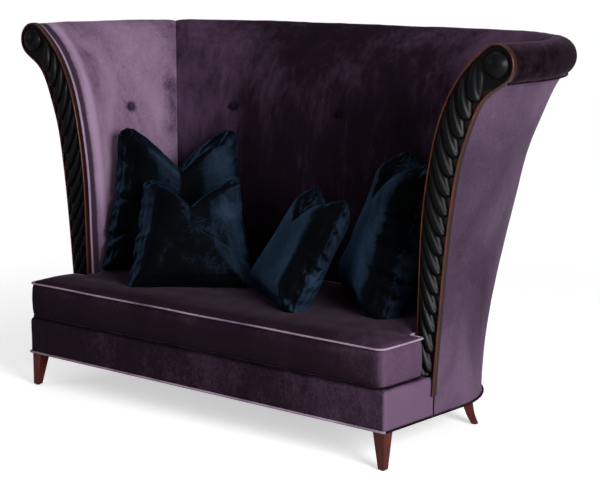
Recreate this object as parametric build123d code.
from build123d import *
from math import asin, cos, degrees, hypot, radians, sin, sqrt, tan
import os

# A tall sofa whose back and wings are one shell. The shell flares outwards and ends in a top roll.
# Millimetres. +X is to the right seen from the front, +Y is to the back, +Z is up.
# The origin is on the floor below the middle of the whole sofa.

# Base, seen from above it is a U: straight front, straight sides and two rounded rear corners
base_width = 1900.0
base_depth = 900.0
corner_radius = 427.0
leg_height = 142.0
base_height = 156.0

# Shell: its section is drawn by the distance out from the base outline and the height
roll_reach = 258.0
roll_height = 1444.0
roll_radius = 71.0
inner_set = 72.0
roll_seam_turn = -60.0
seam_gap_turn = 0.5
corner_sweep = 45.0

# Shares of the way from the deck to the top of the roll, and from the seat line out to the roll
inner_rise_shares = (0.0, 0.301, 0.472, 0.651, 0.760, 0.854, 0.916, 0.966)
inner_flare_shares = (0.0, 0.030, 0.058, 0.155, 0.258, 0.412, 0.570, 0.758)
# Shares of the way from the leg tops to the middle of the roll, and of the roll's reach
outer_rise_shares = (0.0, 0.259, 0.450, 0.633, 0.738, 0.817, 0.920)
outer_flare_shares = (0.0, 0.081, 0.168, 0.287, 0.395, 0.535, 0.837)
# The same shares round the rear corners and the back, where the cover is drawn straight and stands fuller
rear_flare_shares = (0.0, 0.104, 0.288, 0.496, 0.624, 0.760, 0.922)

# Upholstery
cover_thickness = 7.5
cover_gap = 0.5
pad_thickness = 45.0
pad_roll_thickness = 24.0
pad_narrowing_shares = (1.0, 1.0, 1.0, 1.0, 0.92, 0.75, 0.5, 0.2)
welt_radius = 4.5
welt_gap = 0.2
bullnose = 22.0
platform_corner_round = 8.0
soft_gap = 0.3

# Arm front: a moulded board with a raised bead, which stands across the end of each wing
arm_setback_share = 0.302222
board_thickness = 12.0
bead_height = 12.0
bead_width = 7.5
board_proud_inside = 3.0
board_proud_outside = 10.0
board_neck_turn = -52.0
board_toe_drop = 74.0
board_toe_gap = 1.0

# Carved rope and boss on the arm front
rope_lobes = 15
rope_proud = 30.0
rope_backing = 4.0
rope_edge_gap = 1.5
rope_tip_share = 0.04
rope_end_share = 0.06
rope_lobe_width_share = 0.96
rope_lean = 1.8
rope_lean_power = 1.5
rope_start_share = 0.108
rope_inner_end_share = 0.955
rope_outer_end_share = 1.03
rope_level_shares = (0.0, 0.55, 1.0)
rope_width_shares = (1.0, 0.84, 0.42)
rope_length_shares = (1.0, 0.94, 0.78)
rope_step_shares = (0.0, 0.33, 0.67, 1.0)
boss_radius = 50.0
boss_height = 38.0
boss_rim = 9.0
boss_pin_radius = 5.0
boss_pin_height = 3.0

# Timber frame
rail_thickness = 30.0
rail_height = 118.0
plate_thickness = 2.0
plate_size = 78.0
cross_rail_width = 40.0
cross_rail_height = 55.0
cross_rail_place_shares = (-0.25, 0.25)
rib_thickness = 22.0
rib_gap = 0.5
back_rib_place_shares = (-0.5, 0.0, 0.5)
top_rail_radius = 20.0
tacking_height = 62.0
tacking_thickness = 18.0
tacking_level_shares = (0.30, 0.62)
head_gap = 0.5

# Webbing, deck and dust cover
strap_width = 52.0
strap_thickness = 2.0
long_straps = 15
cross_straps = 6
strap_margin = 60.0
strap_tail = 14.0
deck_thickness = 24.0
deck_side_gap = 26.0
dust_thickness = 1.6

# Legs
front_leg_top = 51.0
front_leg_foot = 26.0
leg_inset = 6.0
rear_leg_top = 50.0
rear_leg_foot = 27.0
rear_leg_turn = 39.0
rear_leg_inset = 58.0
rear_leg_splay = 35.0
sabre_height_shares = (0.0, 0.3, 0.65, 1.0)
sabre_splay_shares = (1.0, 0.48, 0.12, 0.0)
glide_radius = 9.0
glide_height = 4.0
bolt_radius = 4.0
bolt_gap = 0.1
bolt_depth = 34.0

# Buttons
button_radius = 15.0
button_thickness = 9.0
button_rim = 3.0
button_gap = 0.4
button_height = 1151.0
button_dish_radius = 120.0
button_dish_depth = 7.0
back_button_spacing_share = 0.62526
wing_button_setback = 591.0

# Seat cushion, T shaped in plan
cushion_overhang = 10.0
cushion_height = 151.0
cushion_ear_gap = 8.0
cushion_ear_clearance = 8.0
cushion_side_clearance = 6.0
cushion_front_round = 30.0
cushion_ear_round = 14.0
cushion_inner_round = 12.0
cushion_crown = 14.0
cushion_pull = 5.0
cushion_welt_radius = 3.6
cushion_boxing_shares = (0.0, 0.06, 0.16, 0.5, 0.84, 0.94, 1.0)
cushion_boxing_pull_shares = (1.0, 1.0, 0.25, 0.0, 0.25, 1.0, 1.0)
cushion_crown_reach = 105.0
cushion_crown_inset_shares = (0.22, 0.6, 1.0)
cushion_crown_rise_shares = (0.5, 0.85, 1.0)
cushion_crown_round_share = 0.5

# Pillows: a knife edge with drawn-in sides, thin ears and a plump middle, pressed in at the top
pillow_large = 650.0
pillow_small = 520.0
pillow_crown_share = 0.19
pillow_draw_share = 0.02
pillow_tip_share = 0.035
pillow_ear_round_share = 0.06
pillow_sink = 12.0
# At each level from the seam to the crown: how wide, and how far ears, chop and foot are from the middle
pillow_level_shares = (0.0, 0.34, 0.67, 0.89, 1.0)
pillow_width_shares = (1.0, 0.96, 0.86, 0.70, 0.44)
pillow_ear_shares = (0.77, 0.75, 0.71, 0.67, 0.63)
pillow_ear_rise_shares = (0.50, 0.455, 0.39, 0.315, 0.22)
pillow_chop_rise_shares = (0.23, 0.225, 0.215, 0.19, 0.14)
pillow_foot_shares = (0.50, 0.485, 0.44, 0.36, 0.22)
# Large left, small left, small right and large right: place across, and room behind the middle of its foot
pillow_names = ("large_left", "small_left", "small_right", "large_right")
pillow_sizes = (pillow_large, pillow_small, pillow_small, pillow_large)
pillow_across_shares = (-0.328, -0.148, 0.071, 0.238)
pillow_rear_room = (342.0, 616.0, 579.6, 378.0)
pillow_facing_turns = (50.0, 41.0, -32.0, -42.0)
pillow_lean_turns = (8.0, 31.0, 30.0, 20.0)
pillow_tilt_turns = (-2.0, 0.0, -1.0, 0.0)

# Worked out from the sizes above
half_width = base_width / 2
deck_height = leg_height + base_height
whole_depth = cushion_overhang + base_depth + roll_reach + roll_radius
whole_width = base_width + 2 * (roll_reach + roll_radius)
front_y = cushion_overhang - whole_depth / 2
rear_y = front_y + base_depth
corner_x = half_width - corner_radius
corner_y = rear_y - corner_radius
corner_axis = Axis((corner_x, corner_y, 0), (0, 0, 1))
corner_axis_down = Axis((corner_x, corner_y, 0), (0, 0, -1))
arm_setback = arm_setback_share * base_depth
bead_front_y = front_y + arm_setback
field_y = bead_front_y + bead_height
board_back_y = field_y + board_thickness
rail_bottom = leg_height + plate_thickness
rail_top = rail_bottom + rail_height
seat_level = deck_height + soft_gap
cushion_top = deck_height + cushion_height
plateau = cushion_top + cushion_crown
overrun = base_height
halvings = 24

parts = {}


def side_place(y):
    """Gives the placer of a section that stands across the right side at depth y."""
    return lambda out, up: Vector(half_width + out, y, up)


def back_place(x):
    """Gives the placer of a section that stands across the back at x."""
    return lambda out, up: Vector(x, rear_y + out, up)


def corner_place(turn):
    """Gives the placer of a section in the right rear corner, turned from the side towards the back."""
    def place(out, up):
        radius = corner_radius + out
        return Vector(corner_x + radius * cos(radians(turn)), corner_y + radius * sin(radians(turn)), up)
    return place


def roll_point(radius, turn):
    """A point round the middle of the top roll, as distance out and height."""
    return (roll_reach + radius * cos(radians(turn)), roll_height + radius * sin(radians(turn)))


def pushed(points, pushes):
    """Moves each point of a section line to the right of its direction by its push."""
    moved = []
    last = len(points) - 1
    for index, (out, up) in enumerate(points):
        before = points[max(index - 1, 0)]
        after = points[min(index + 1, last)]
        along_out = after[0] - before[0]
        along_up = after[1] - before[1]
        length = hypot(along_out, along_up)
        moved.append((out + pushes[index] * along_up / length, up - pushes[index] * along_out / length))
    return moved


def inner_points(pushes):
    """The inner face from the seat frame up to the roll, moved outwards by the pushes."""
    top = roll_height + roll_radius + board_proud_inside
    points = []
    for rise, flare in zip(inner_rise_shares, inner_flare_shares):
        out = flare * (roll_reach + inner_set) - inner_set
        points.append((out, deck_height + rise * (top - deck_height)))
    points = pushed(points, pushes)
    points[0] = (points[0][0], rail_bottom)
    return points


def outer_points(push, fullness):
    """The outer face from the bottom of the base up to the roll, moved outwards by push.

    Fullness goes from 0 at the arm front to 1 at the rear corners and the back.
    """
    points = []
    for rise, flare, rear_flare in zip(outer_rise_shares, outer_flare_shares, rear_flare_shares):
        out = (flare + fullness * (rear_flare - flare)) * roll_reach
        points.append((out, leg_height + rise * (roll_height - leg_height)))
    points = pushed(points, [push] * len(points))
    points[0] = (points[0][0], leg_height)
    return points


def placed(points, place):
    return [place(out, up) for out, up in points]


def level_direction(place):
    """The direction straight out from the shell in the plane of a section."""
    return (place(1, 0) - place(0, 0)).normalized()


def inner_edge(pushes, radius, place):
    """A smooth line up the inner face that ends level on the top of the roll."""
    points = inner_points(pushes) + [roll_point(radius, 90)]
    return Spline(placed(points, place), tangents=[Vector(0, 0, 1), level_direction(place)])


def outer_edge(push, radius, turn, place, fullness=0):
    """A smooth line up the outer face that ends on the underside of the roll."""
    points = outer_points(push, fullness) + [roll_point(radius, turn)]
    tangent_out = cos(radians(turn + 90))
    tangent_up = sin(radians(turn + 90))
    end = level_direction(place) * tangent_out + Vector(0, 0, tangent_up)
    return Spline(placed(points, place), tangents=[Vector(0, 0, 1), end])


def roll_arc(radius, first, last, place):
    middle = (first + last) / 2
    points = [roll_point(radius, turn) for turn in (first, middle, last)]
    return ThreePointArc(*placed(points, place))


def share_at(line, up):
    """How far along a rising line, as a share of its length, it reaches the height up."""
    low, high = 0.0, 1.0
    for step in range(halvings):
        middle = (low + high) / 2
        if (line @ middle).Z < up:
            low = middle
        else:
            high = middle
    return low


def even(push):
    return [push] * len(inner_rise_shares)


def pad_pushes(extra):
    """The pushes of the pad's hidden face, which comes nearer to the velvet towards the roll."""
    spread = pad_thickness - pad_roll_thickness
    least = board_proud_inside + pad_roll_thickness + extra
    return [least + spread * share for share in pad_narrowing_shares]


def scroll_face(inside, outside, radius, turn, place):
    """The full section of the shell with its scroll, as the arm board and the ribs have it."""
    up_inside = inner_edge(inside, radius, place)
    up_outside = outer_edge(outside, radius, turn, place)
    round_roll = roll_arc(radius, 90, turn, place)
    foot = Line(up_inside @ 0, up_outside @ 0)
    return Face(Wire([up_inside, round_roll, up_outside, foot]))


def pad_section(place):
    """The wing or back pad: velvet face, round the roll to its seam, and back along the hidden face."""
    core = roll_radius - pad_roll_thickness
    velvet = inner_edge(even(board_proud_inside), roll_radius, place)
    hidden = inner_edge(pad_pushes(0), core, place)
    outside = roll_arc(roll_radius, 90, roll_seam_turn, place)
    seam = Line(place(*roll_point(roll_radius, roll_seam_turn)), place(*roll_point(core, roll_seam_turn)))
    around = roll_arc(core, roll_seam_turn, 90, place)
    foot = Line(hidden @ 0, velvet @ 0)
    return Face(Wire([velvet, outside, seam, around, hidden, foot]))


def cover_section(place, fullness=1):
    """The outside cover, from the bottom of the base up to the seam under the roll."""
    radius = roll_radius - cover_gap
    turn = roll_seam_turn - seam_gap_turn
    outside = outer_edge(0, radius, turn, place, fullness)
    inside = outer_edge(-cover_thickness, radius - cover_thickness, turn, place, fullness)
    return Face(Wire([outside, Line(outside @ 1, inside @ 1), inside, Line(inside @ 0, outside @ 0)]))


def rib_section(place, fullness=1):
    """A shaped upright that fills the space between pad and cover and carries the roll."""
    core = roll_radius - pad_roll_thickness - head_gap
    turn = roll_seam_turn - seam_gap_turn
    up_inside = inner_edge(pad_pushes(rib_gap), core, place)
    shoulder_radius = roll_radius - cover_gap - cover_thickness - rib_gap
    up_outside = outer_edge(-cover_thickness - rib_gap, shoulder_radius, turn, place, fullness)
    head = roll_arc(core, 90, turn, place)
    shoulder = Line(head @ 1, up_outside @ 1)
    foot = Line(up_inside @ 0, up_outside @ 0)
    return Face(Wire([up_inside, head, shoulder, up_outside, foot]))


def box_section(out_low, out_high, up_low, up_high):
    """A rectangular section, as a function of its placer."""
    corners = [(out_low, up_low), (out_high, up_low), (out_high, up_high), (out_low, up_high)]
    return lambda place: Face(Wire(Polyline(*placed(corners, place), close=True).edges()))


def round_section(out, up, radius):
    """A round section, as a function of its placer."""
    def section(place):
        outwards = level_direction(place)
        plane = Plane(origin=place(out, up), x_dir=outwards, z_dir=Vector(0, 0, 1).cross(outwards))
        return Face(Wire(plane * Edge.make_circle(radius)))
    return section


def right_run(section, start_y):
    """Runs a section along the right side from start_y and on to the middle of the rear corner."""
    straight = extrude(section(side_place(start_y)), amount=corner_y - start_y, dir=(0, 1, 0))
    return straight + revolve(section(side_place(corner_y)), corner_axis, corner_sweep)


def right_cover_run(start_y):
    """The outside cover of the right side: it grows fuller up to the corner and then keeps its section."""
    rear_section = cover_section(side_place(corner_y))
    straight = loft([cover_section(side_place(start_y), 0), rear_section], ruled=True)
    return straight + revolve(rear_section, corner_axis, corner_sweep)


def back_run(section):
    """Runs a section along the back between the middles of both rear corners."""
    straight = extrude(section(back_place(-corner_x)), amount=2 * corner_x, dir=(1, 0, 0))
    right = revolve(section(back_place(corner_x)), corner_axis_down, corner_sweep)
    return straight + right + mirror(right, about=Plane.YZ)


def above(shape, z):
    """The part of a shape of the shell that stands higher than z."""
    return shape - box(-whole_width, whole_width, -whole_width, whole_width, -overrun, z)


def left_of(shape):
    return mirror(shape, about=Plane.YZ)


def box(x_low, x_high, y_low, y_high, z_low, z_high):
    size = (x_high - x_low, y_high - y_low, z_high - z_low)
    middle = ((x_low + x_high) / 2, (y_low + y_high) / 2, (z_low + z_high) / 2)
    return Pos(*middle) * Box(*size)


def post(x, y, z_low, z_high, radius):
    return Pos(x, y, (z_low + z_high) / 2) * Cylinder(radius, z_high - z_low)


def rounded_wire(corners, z):
    """A closed outline at height z through corners (x, y, radius), each rounded by its radius."""
    edges = []
    first = None
    last = None
    for index, (x, y, radius) in enumerate(corners):
        here = Vector(x, y, z)
        before = Vector(*corners[index - 1][:2], z)
        after = Vector(*corners[(index + 1) % len(corners)][:2], z)
        back = (before - here).normalized()
        ahead = (after - here).normalized()
        half = radians(back.get_angle(ahead)) / 2
        reach = radius / tan(half)
        start = here + back * reach
        end = here + ahead * reach
        bisector = (back + ahead).normalized()
        middle = here + bisector * (radius / sin(half) - radius)
        if last is not None:
            edges.append(Line(last, start))
        edges.append(ThreePointArc(start, middle, end))
        first = first or start
        last = end
    edges.append(Line(last, first))
    return Wire(edges)


def plan_corners(inset, front):
    """The base outline moved in by inset, from the depth front to the back."""
    side = half_width - inset
    rear = rear_y - inset
    radius = corner_radius - inset
    square = welt_gap
    return [(-side, front, square), (side, front, square), (side, rear, radius), (-side, rear, radius)]


def plan_slab(inset, front, z_low, z_high):
    outline = Face(rounded_wire(plan_corners(inset, front), z_low))
    return extrude(outline, amount=z_high - z_low, dir=(0, 0, 1))


def outline_depth(x, inset):
    """How far back the base outline moved in by inset reaches at x."""
    beyond = max(abs(x) - corner_x, 0)
    return corner_y + sqrt((corner_radius - inset) ** 2 - beyond ** 2)


def add(name, shape):
    parts[name] = shape


# Legs. The front ones are square and keep their outer faces upright, the rear ones sweep outwards.
def front_leg():
    high = half_width - leg_inset
    low = front_y + leg_inset
    wires = []
    for z, size in ((glide_height, front_leg_foot), (leg_height, front_leg_top)):
        corners = [(high - size, low), (high, low), (high, low + size), (high - size, low + size)]
        wires.append(Face(Wire(Polyline(*[(x, y, z) for x, y in corners], close=True).edges())))
    return loft(wires, ruled=True)


def rear_leg_middle(splay_share):
    radius = corner_radius - rear_leg_inset + rear_leg_splay * splay_share
    turn = radians(rear_leg_turn)
    return corner_x + radius * cos(turn), corner_y + radius * sin(turn)


def rear_leg():
    wires = []
    for share, splay in zip(sabre_height_shares, sabre_splay_shares):
        z = glide_height + share * (leg_height - glide_height)
        size = rear_leg_foot + share * (rear_leg_top - rear_leg_foot)
        x, y = rear_leg_middle(splay)
        plane = Plane(origin=(x, y, z), x_dir=(cos(radians(rear_leg_turn)), sin(radians(rear_leg_turn)), 0))
        wires.append(plane * Rectangle(size, size))
    return loft(wires)


front_middle = (half_width - leg_inset - front_leg_top / 2, front_y + leg_inset + front_leg_top / 2)
front_foot = (half_width - leg_inset - front_leg_foot / 2, front_y + leg_inset + front_leg_foot / 2)
rear_middle = rear_leg_middle(0)
rear_foot = rear_leg_middle(1)
bolt_low = leg_height - bolt_depth
front_bore = post(*front_middle, bolt_low, leg_height, bolt_radius + bolt_gap)
rear_bore = post(*rear_middle, bolt_low, leg_height, bolt_radius + bolt_gap)
front_right_leg = front_leg() - front_bore
rear_right_leg = rear_leg() - rear_bore
add("leg_front_right", front_right_leg)
add("leg_front_left", left_of(front_right_leg))
add("leg_rear_right", rear_right_leg)
add("leg_rear_left", left_of(rear_right_leg))
right_glides = [post(x, y, 0, glide_height, glide_radius) for x, y in (front_foot, rear_foot)]
add("leg_glides", Compound(right_glides + [left_of(glide) for glide in right_glides]))
right_bolts = [post(x, y, bolt_low, rail_bottom, bolt_radius) for x, y in (front_middle, rear_middle)]
add("leg_bolts", Compound(right_bolts + [left_of(bolt) for bolt in right_bolts]))


def leg_plate(middle, turn):
    x, y = middle
    place = Pos(x, y, leg_height + plate_thickness / 2) * Rot(0, 0, turn)
    plate = place * Box(plate_size, plate_size, plate_thickness)
    return plate - post(x, y, leg_height, rail_bottom, bolt_radius + bolt_gap)


plate_reach = cover_thickness + cover_gap + plate_size / 2
front_plate_middle = (half_width - plate_reach, front_y + plate_reach)
front_plate = box(
    front_plate_middle[0] - plate_size / 2, front_plate_middle[0] + plate_size / 2,
    front_plate_middle[1] - plate_size / 2, front_plate_middle[1] + plate_size / 2,
    leg_height, rail_bottom,
) - post(*front_middle, leg_height, rail_bottom, bolt_radius + bolt_gap)
rear_plate = leg_plate(rear_middle, rear_leg_turn)
add("leg_plates", Compound([front_plate, rear_plate, left_of(front_plate), left_of(rear_plate)]))

# Seat frame
rail_out = -cover_thickness - cover_gap
rail_in = rail_out - rail_thickness
rail_front_y = front_y - rail_out
rail = box_section(rail_in, rail_out, rail_bottom, rail_top)
right_rail = right_run(rail, rail_front_y + rail_thickness)
rail_half = half_width + rail_out
rail_back_y = rail_front_y + rail_thickness
add("seat_rail_front", box(-rail_half, rail_half, rail_front_y, rail_back_y, rail_bottom, rail_top))
add("seat_rail_right", right_rail)
add("seat_rail_left", left_of(right_rail))
add("seat_rail_rear", back_run(rail))
cross_rails = []
for place in cross_rail_place_shares:
    x = place * base_width
    low_y = rail_front_y + rail_thickness
    high_y = outline_depth(abs(x) + cross_rail_width / 2, -rail_in)
    cross_rails.append(box(
        x - cross_rail_width / 2, x + cross_rail_width / 2, low_y, high_y,
        rail_top - cross_rail_height, rail_top,
    ))
add("seat_cross_rails", Compound(cross_rails))

# Webbing: straps from front to back, and straps across on top of them
strap_top = rail_top + strap_thickness
long_webs = []
strap_span = base_width - 2 * (strap_margin + strap_width)
for index in range(long_straps):
    x = (index / (long_straps - 1) - 0.5) * strap_span
    low_y = front_y + strap_tail
    high_y = outline_depth(abs(x) + strap_width / 2, deck_side_gap)
    long_webs.append(box(x - strap_width / 2, x + strap_width / 2, low_y, high_y, rail_top, strap_top))
add("webbing_front_to_back", Compound(long_webs))
cross_webs = []
for index in range(cross_straps):
    low_y = front_y + strap_margin + index * (corner_y - front_y - strap_margin) / cross_straps
    reach = half_width - strap_tail - deck_side_gap
    high_y = low_y + strap_width
    cross_webs.append(box(-reach, reach, low_y, high_y, strap_top, strap_top + strap_thickness))
add("webbing_side_to_side", Compound(cross_webs))
web_top = strap_top + strap_thickness
pad_top = web_top + deck_thickness
add("deck_pad", plan_slab(deck_side_gap, front_y + bullnose, web_top, pad_top))
deck_cloth_low = pad_top + cover_gap
deck_cloth_inset = inner_set - board_proud_inside + cover_gap
add("deck_cloth", plan_slab(deck_cloth_inset, board_back_y, deck_cloth_low, deck_height))
dust = plan_slab(-rail_out, rail_front_y, rail_bottom - dust_thickness, rail_bottom)
plate_room = plate_size + 2 * bolt_gap
front_room = Pos(*front_plate_middle, leg_height) * Box(plate_room, plate_room, 2 * leg_height)
rear_room = Box(plate_room, plate_room, 2 * leg_height)
rear_room = Pos(*rear_middle, leg_height) * Rot(0, 0, rear_leg_turn) * rear_room
for room in (front_room, rear_room):
    dust = dust - room - left_of(room)
add("dust_cover", dust)

# Platform cover: the velvet box in front of the arms, open below and behind
platform = box(-half_width, half_width, front_y, board_back_y, leg_height, deck_height)
front_corner_edges = platform.edges().filter_by(Axis.Z).group_by(Axis.Y)[0]
platform = fillet(front_corner_edges, platform_corner_round)
front_top_edges = platform.edges().filter_by(Axis.X).group_by(Axis.Z)[-1].sort_by(Axis.Y)[0:1]
platform = fillet(front_top_edges, bullnose)
platform_hollow = box(
    -half_width + cover_thickness, half_width - cover_thickness,
    front_y + cover_thickness, board_back_y + overrun,
    leg_height - overrun, deck_height - cover_thickness,
)
platform_inner_edges = platform_hollow.edges().filter_by(Axis.X).group_by(Axis.Z)[-1].sort_by(Axis.Y)[0:1]
platform_hollow = fillet(platform_inner_edges, bullnose - cover_thickness)
add("platform_cover", platform - platform_hollow)


def swept_welt(path, radius):
    """A round cord along a closed outline."""
    section = Plane(origin=path @ 0, z_dir=path % 0) * Circle(radius)
    return sweep(section, path=path)


# Welt round the bottom of the base
def base_welt_corners():
    out = welt_radius + welt_gap
    side = half_width + out
    front = front_y - out
    front_round = platform_corner_round + out
    rear_round = corner_radius + out
    right = [(side, front, front_round), (side, rear_y + out, rear_round)]
    return right + [(-x, y, radius) for x, y, radius in reversed(right)]


add("base_piping", swept_welt(rounded_wire(base_welt_corners(), leg_height + welt_radius), welt_radius))

# Shell: outside covers, pads and the welt under the roll
right_cover = right_cover_run(board_back_y)
add("outside_cover_right", right_cover)
add("outside_cover_left", left_of(right_cover))
add("outside_cover_back", back_run(cover_section))


def shell_path(out, up):
    """The line round the shell behind the arm boards, at a distance out and a height."""
    start = side_place(board_back_y)(out, up)
    bend = [corner_place(turn)(out, up) for turn in (0, corner_sweep, 2 * corner_sweep)]
    right = [Line(start, bend[0]), ThreePointArc(*bend)]
    left_bend = [Vector(-point.X, point.Y, point.Z) for point in bend]
    left = [ThreePointArc(*left_bend), Line(left_bend[0], Vector(-start.X, start.Y, start.Z))]
    return Wire(right + [Line(bend[-1], left_bend[-1])] + left)


roll_welt_point = roll_point(roll_radius + welt_radius + welt_gap, roll_seam_turn)
add("roll_piping", swept_welt(shell_path(*roll_welt_point), welt_radius))


def domed_disc(radius, rim, height):
    """A disc with an upright rim and a domed face, standing on the origin."""
    rise = height - rim
    dome_radius = (radius ** 2 + rise ** 2) / (2 * rise)
    dome = Pos(0, 0, height - dome_radius) * Sphere(dome_radius)
    return post(0, 0, 0, height, radius) & dome


# Buttons sit in shallow dishes in the pads
def button_frame(place):
    """The plane of a button on the velvet face of the section at place, facing the seat."""
    line = inner_edge(even(board_proud_inside), roll_radius, place)
    share = share_at(line, button_height)
    along = line % share
    out = level_direction(place)
    facing = (along * out.dot(along) - out).normalized()
    return Plane(origin=line @ share, x_dir=along, z_dir=facing)


dish_rise = button_dish_radius - sqrt(button_dish_radius ** 2 - button_radius ** 2)


def button_at(place):
    lift = button_gap + dish_rise - button_dish_depth
    button = domed_disc(button_radius, button_rim, button_thickness)
    return (button_frame(place) * Pos(0, 0, lift)) * button


def dish_at(place):
    lift = button_dish_radius - button_dish_depth
    return (button_frame(place) * Pos(0, 0, lift)) * Sphere(button_dish_radius)


def inner_turn(distance, radius):
    return degrees(asin(distance / radius))


button_radius_at = corner_radius + (roll_reach + inner_set) * inner_flare_shares[3] - inner_set
wing_turn = inner_turn(front_y + wing_button_setback - corner_y, button_radius_at)
back_button_spacing = back_button_spacing_share * half_width
back_turn = 90 - inner_turn(back_button_spacing - corner_x, button_radius_at)
wing_spot = corner_place(wing_turn)
back_side_spot = corner_place(back_turn)
back_middle_spot = back_place(0)
pad_foot = pad_top + cover_gap
right_pad = above(right_run(pad_section, board_back_y), pad_foot) - dish_at(wing_spot)
back_dish = dish_at(back_side_spot)
back_pad = above(back_run(pad_section), pad_foot)
back_pad = back_pad - back_dish - left_of(back_dish) - dish_at(back_middle_spot)
add("wing_pad_right", right_pad)
add("wing_pad_left", left_of(right_pad))
add("back_pad", back_pad)
wing_button = button_at(wing_spot)
back_button = button_at(back_side_spot)
add("button_wing_right", wing_button)
add("button_wing_left", left_of(wing_button))
add("button_back_right", back_button)
add("button_back_left", left_of(back_button))
add("button_back_middle", button_at(back_middle_spot))

# Ribs and rails inside the shell
def rib_across_side(y):
    fullness = (y - board_back_y) / (corner_y - board_back_y)
    return above(extrude(rib_section(side_place(y), fullness), amount=rib_thickness, dir=(0, 1, 0)), rail_top)


def rib_across_back(x):
    return above(extrude(rib_section(back_place(x)), amount=rib_thickness, dir=(1, 0, 0)), rail_top)


second_rib_y = corner_y - rib_thickness
right_ribs = [rib_across_side(board_back_y), rib_across_side(second_rib_y)]
add("wing_ribs_right", Compound(right_ribs))
add("wing_ribs_left", Compound([left_of(rib) for rib in right_ribs]))
back_rib_span = 2 * (corner_x - rib_thickness)
back_rib_starts = [share * back_rib_span - rib_thickness / 2 for share in back_rib_place_shares]
add("back_ribs", Compound([rib_across_back(x) for x in back_rib_starts]))


def side_bay(section, y_low, y_high):
    """A straight length of a section between two depths on the right side."""
    return extrude(section(side_place(y_low)), amount=y_high - y_low, dir=(0, 1, 0))


def back_bay(section, x_low, x_high):
    """A straight length of a section between two places across the back."""
    return extrude(section(back_place(x_low)), amount=x_high - x_low, dir=(1, 0, 0))


def rail_round(section):
    """All the lengths of a rail that runs round the shell between the ribs."""
    first = side_bay(section, board_back_y + rib_thickness, second_rib_y)
    bend = revolve(section(side_place(corner_y)), corner_axis, 2 * corner_sweep)
    bend = bend + back_bay(section, back_rib_starts[-1] + rib_thickness, corner_x)
    lengths = [first, bend, left_of(first), left_of(bend)]
    for left_rib, right_rib in zip(back_rib_starts, back_rib_starts[1:]):
        lengths.append(back_bay(section, left_rib + rib_thickness, right_rib))
    return lengths


add("top_rails", Compound(rail_round(round_section(roll_reach, roll_height, top_rail_radius))))
hidden_line = inner_edge(pad_pushes(rib_gap), roll_radius - pad_roll_thickness, side_place(0))
tacking = []
for share in tacking_level_shares:
    low = deck_height + share * (roll_height - deck_height)
    high = low + tacking_height
    out = (hidden_line @ share_at(hidden_line, high)).X - half_width + rib_gap
    tacking += rail_round(box_section(out, out + tacking_thickness, low, high))
add("tacking_rails", Compound(tacking))

# Arm boards: the scroll outline in wood, a sunk field and a raised bead all round
arm = side_place(bead_front_y)


def board_face(inset, place):
    radius = roll_radius + board_proud_inside - inset
    return scroll_face(even(inset), board_proud_outside - inset, radius, board_neck_turn, place)


board_depth = board_back_y - bead_front_y
whole_board = extrude(board_face(0, arm), amount=board_depth, dir=(0, 1, 0))
sunk_field = extrude(board_face(bead_width, arm), amount=bead_height, dir=(0, 1, 0))
toe_foot = deck_height - board_toe_drop
toe_inside = half_width + board_toe_gap
over_platform = box(0, toe_inside, bead_front_y, board_back_y, toe_foot - overrun, deck_height)
right_board = above(whole_board - sunk_field - over_platform, toe_foot)
add("arm_board_right", right_board)
add("arm_board_left", left_of(right_board))


# Carved rope: leaves that climb from the outer edge to the inner edge, each with a domed face
field_inner = inner_edge(even(bead_width + rope_edge_gap), roll_radius - bead_width, side_place(field_y))
field_push = board_proud_outside - bead_width - rope_edge_gap
field_outer = outer_edge(field_push, roll_radius - bead_width, board_neck_turn, side_place(field_y))


def field_point(station, across, forward):
    """A point over the field. station counts lobes upwards, across runs from 0 inside to 1 outside."""
    share = rope_start_share + station / (rope_lobes + rope_lean) * (1 - rope_start_share)
    inner = field_inner @ min(share * rope_inner_end_share, 1)
    outer = field_outer @ min(share * rope_outer_end_share, 1)
    spot = inner + (outer - inner) * across
    return Vector(spot.X, field_y - forward, spot.Z)


def lobe_wire(index, level_share, width_share, length_share):
    """The outline of one leaf of the rope at one level above the field."""
    forward = rope_backing + level_share * (rope_proud - rope_backing)
    spare = (1 - length_share) / 2
    half_lobe = rope_lobe_width_share * width_share / 2
    first, last = spare + rope_end_share, 1 - spare - rope_end_share

    def spot(along, across):
        station = index + 0.5 + rope_lean * along ** rope_lean_power + across
        return field_point(station, 1 - along, forward)

    steps = [first + (last - first) * share for share in rope_step_shares]
    lower = Spline([spot(along, -half_lobe) for along in steps])
    upper = Spline([spot(along, half_lobe) for along in reversed(steps)])
    inner_tip = ThreePointArc(lower @ 1, spot(last + rope_tip_share * length_share, 0), upper @ 0)
    outer_tip = ThreePointArc(upper @ 1, spot(first - rope_tip_share * length_share, 0), lower @ 0)
    return Wire([lower, inner_tip, upper, outer_tip])


def lobe(index):
    levels = zip(rope_level_shares, rope_width_shares, rope_length_shares)
    return loft([Face(lobe_wire(index, *level)) for level in levels], ruled=True)


backing_face = board_face(bead_width + rope_edge_gap, side_place(field_y - rope_backing))
backing = above(extrude(backing_face, amount=rope_backing, dir=(0, 1, 0)), deck_height)
boss_x = half_width + roll_reach
boss_place = Pos(boss_x, field_y, roll_height) * Rot(90, 0, 0)
boss_room = boss_place * Cylinder(boss_radius + rope_edge_gap, overrun)
right_rope = backing - boss_room
for index in range(rope_lobes):
    right_rope = right_rope + (lobe(index) - boss_room)
add("rope_carving_right", right_rope)
add("rope_carving_left", left_of(right_rope))

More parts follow.
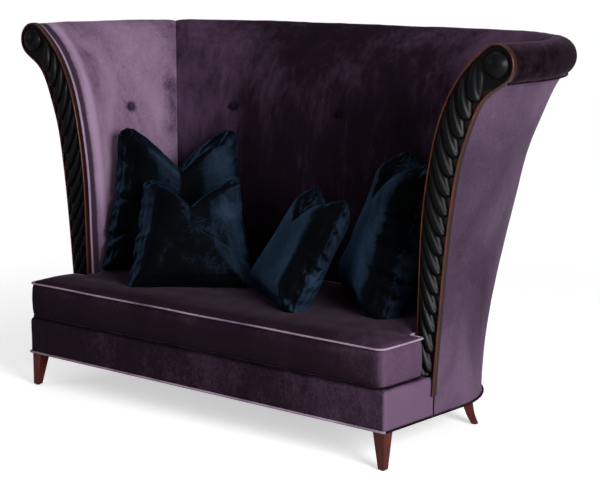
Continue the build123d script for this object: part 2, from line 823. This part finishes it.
# Boss: a domed disc with a rim, and a small pin in its middle
boss_shape = domed_disc(boss_radius, boss_rim, boss_height)
pin_hole = post(0, 0, boss_height - boss_rim, boss_height + boss_pin_height, boss_pin_radius + bolt_gap)
boss_shape = boss_shape - pin_hole
right_boss = boss_place * boss_shape
add("boss_right", right_boss)
add("boss_left", left_of(right_boss))
pin_shape = post(0, 0, boss_height - boss_rim, boss_height + boss_pin_height / 2, boss_pin_radius)
right_pin = boss_place * pin_shape
add("boss_pins", Compound([right_pin, left_of(right_pin)]))


# Seat cushion: a T in plan, its sides drawn in at both welts, its top crowned
def cushion_corners(inset, round_share):
    ear = half_width - cushion_ear_gap - inset
    front = front_y - cushion_overhang + inset
    ear_back = field_y - rope_proud - cushion_ear_clearance - inset
    main = half_width - inner_set - cushion_side_clearance - inset
    rear = rear_y - inner_set - cushion_side_clearance - inset
    rear_round = corner_radius - inner_set - cushion_side_clearance - inset
    right = [
        (ear, front, cushion_front_round * round_share),
        (ear, ear_back, cushion_ear_round * round_share),
        (main, ear_back, cushion_inner_round * round_share),
        (main, rear, rear_round),
    ]
    left = [(-x, y, radius) for x, y, radius in reversed(right)]
    return right + left


cushion_wires = []
for share, pull in zip(cushion_boxing_shares, cushion_boxing_pull_shares):
    z = seat_level + share * (cushion_top - seat_level)
    cushion_wires.append(Face(rounded_wire(cushion_corners(cushion_pull * pull, 1), z)))
for inset_share, rise_share in zip(cushion_crown_inset_shares, cushion_crown_rise_shares):
    inset = cushion_pull + inset_share * (cushion_crown_reach - cushion_pull)
    z = cushion_top + rise_share * cushion_crown
    cushion_wires.append(Face(rounded_wire(cushion_corners(inset, cushion_crown_round_share), z)))
add("seat_cushion", loft(cushion_wires, ruled=True))


def cushion_welt(z):
    inset = cushion_pull - cushion_welt_radius - welt_gap
    return swept_welt(rounded_wire(cushion_corners(inset, 1), z), cushion_welt_radius)


add("cushion_piping_top", cushion_welt(cushion_top - cushion_welt_radius))
add("cushion_piping_bottom", cushion_welt(seat_level + cushion_welt_radius))


# Pillows
def pillow_corners(size, width_share, ear_share, ear_rise, chop_rise, foot_share):
    """The outline of a pillow at one level, in its own plane, its bottom edge along the first axis."""
    half = size * width_share / 2
    draw = pillow_draw_share * size * width_share
    tip = pillow_tip_share * size * width_share
    ear_round = pillow_ear_round_share * size * width_share
    ear = half * ear_share
    waist = (half + ear) / 2 - draw
    middle = size / 2
    foot = middle - foot_share * size
    top = middle + ear_rise * size
    bottom_draw = foot + draw
    big = size * width_share
    return [
        (half, foot, tip), (waist, (foot + top) / 2, big), (ear, top, ear_round),
        (0, middle + chop_rise * size, tip), (-ear, top, ear_round),
        (-waist, (foot + top) / 2, big), (-half, foot, tip), (0, bottom_draw, big),
    ]


def pillow(size, x, y, turn, lean, tilt):
    crown = pillow_crown_share * size
    outlines = []
    for shares in zip(
        pillow_width_shares, pillow_ear_shares, pillow_ear_rise_shares,
        pillow_chop_rise_shares, pillow_foot_shares,
    ):
        outlines.append(pillow_corners(size, *shares))
    levels = list(zip(pillow_level_shares, outlines))
    below = [(-share, outline) for share, outline in reversed(levels[1:])]
    wires = []
    for share, outline in below + levels:
        wires.append(Face(rounded_wire(outline, share * crown)))
    shape = loft(wires, ruled=True)
    facing = Vector(sin(radians(turn)), -cos(radians(turn)), 0)
    across = Vector(cos(radians(turn)), sin(radians(turn)), 0)
    normal = facing * cos(radians(lean)) + Vector(0, 0, sin(radians(lean)))
    frame = Plane(origin=(x, y, plateau - pillow_sink), x_dir=across, z_dir=normal)
    shape = (frame * Rot(0, 0, tilt)) * shape
    seat = Pos(x, y, plateau + soft_gap - size / 2) * Box(2 * size, 2 * size, size)
    return shape - seat


for name, size, across_share, room, facing_turn, lean_turn, tilt_turn in zip(
    pillow_names, pillow_sizes, pillow_across_shares, pillow_rear_room,
    pillow_facing_turns, pillow_lean_turns, pillow_tilt_turns,
):
    x = across_share * base_width
    add("pillow_" + name, pillow(size, x, rear_y - room, facing_turn, lean_turn, tilt_turn))

os.makedirs("parts", exist_ok=True)
for name, shape in parts.items():
    export_step(shape, f"parts/{name}.step")
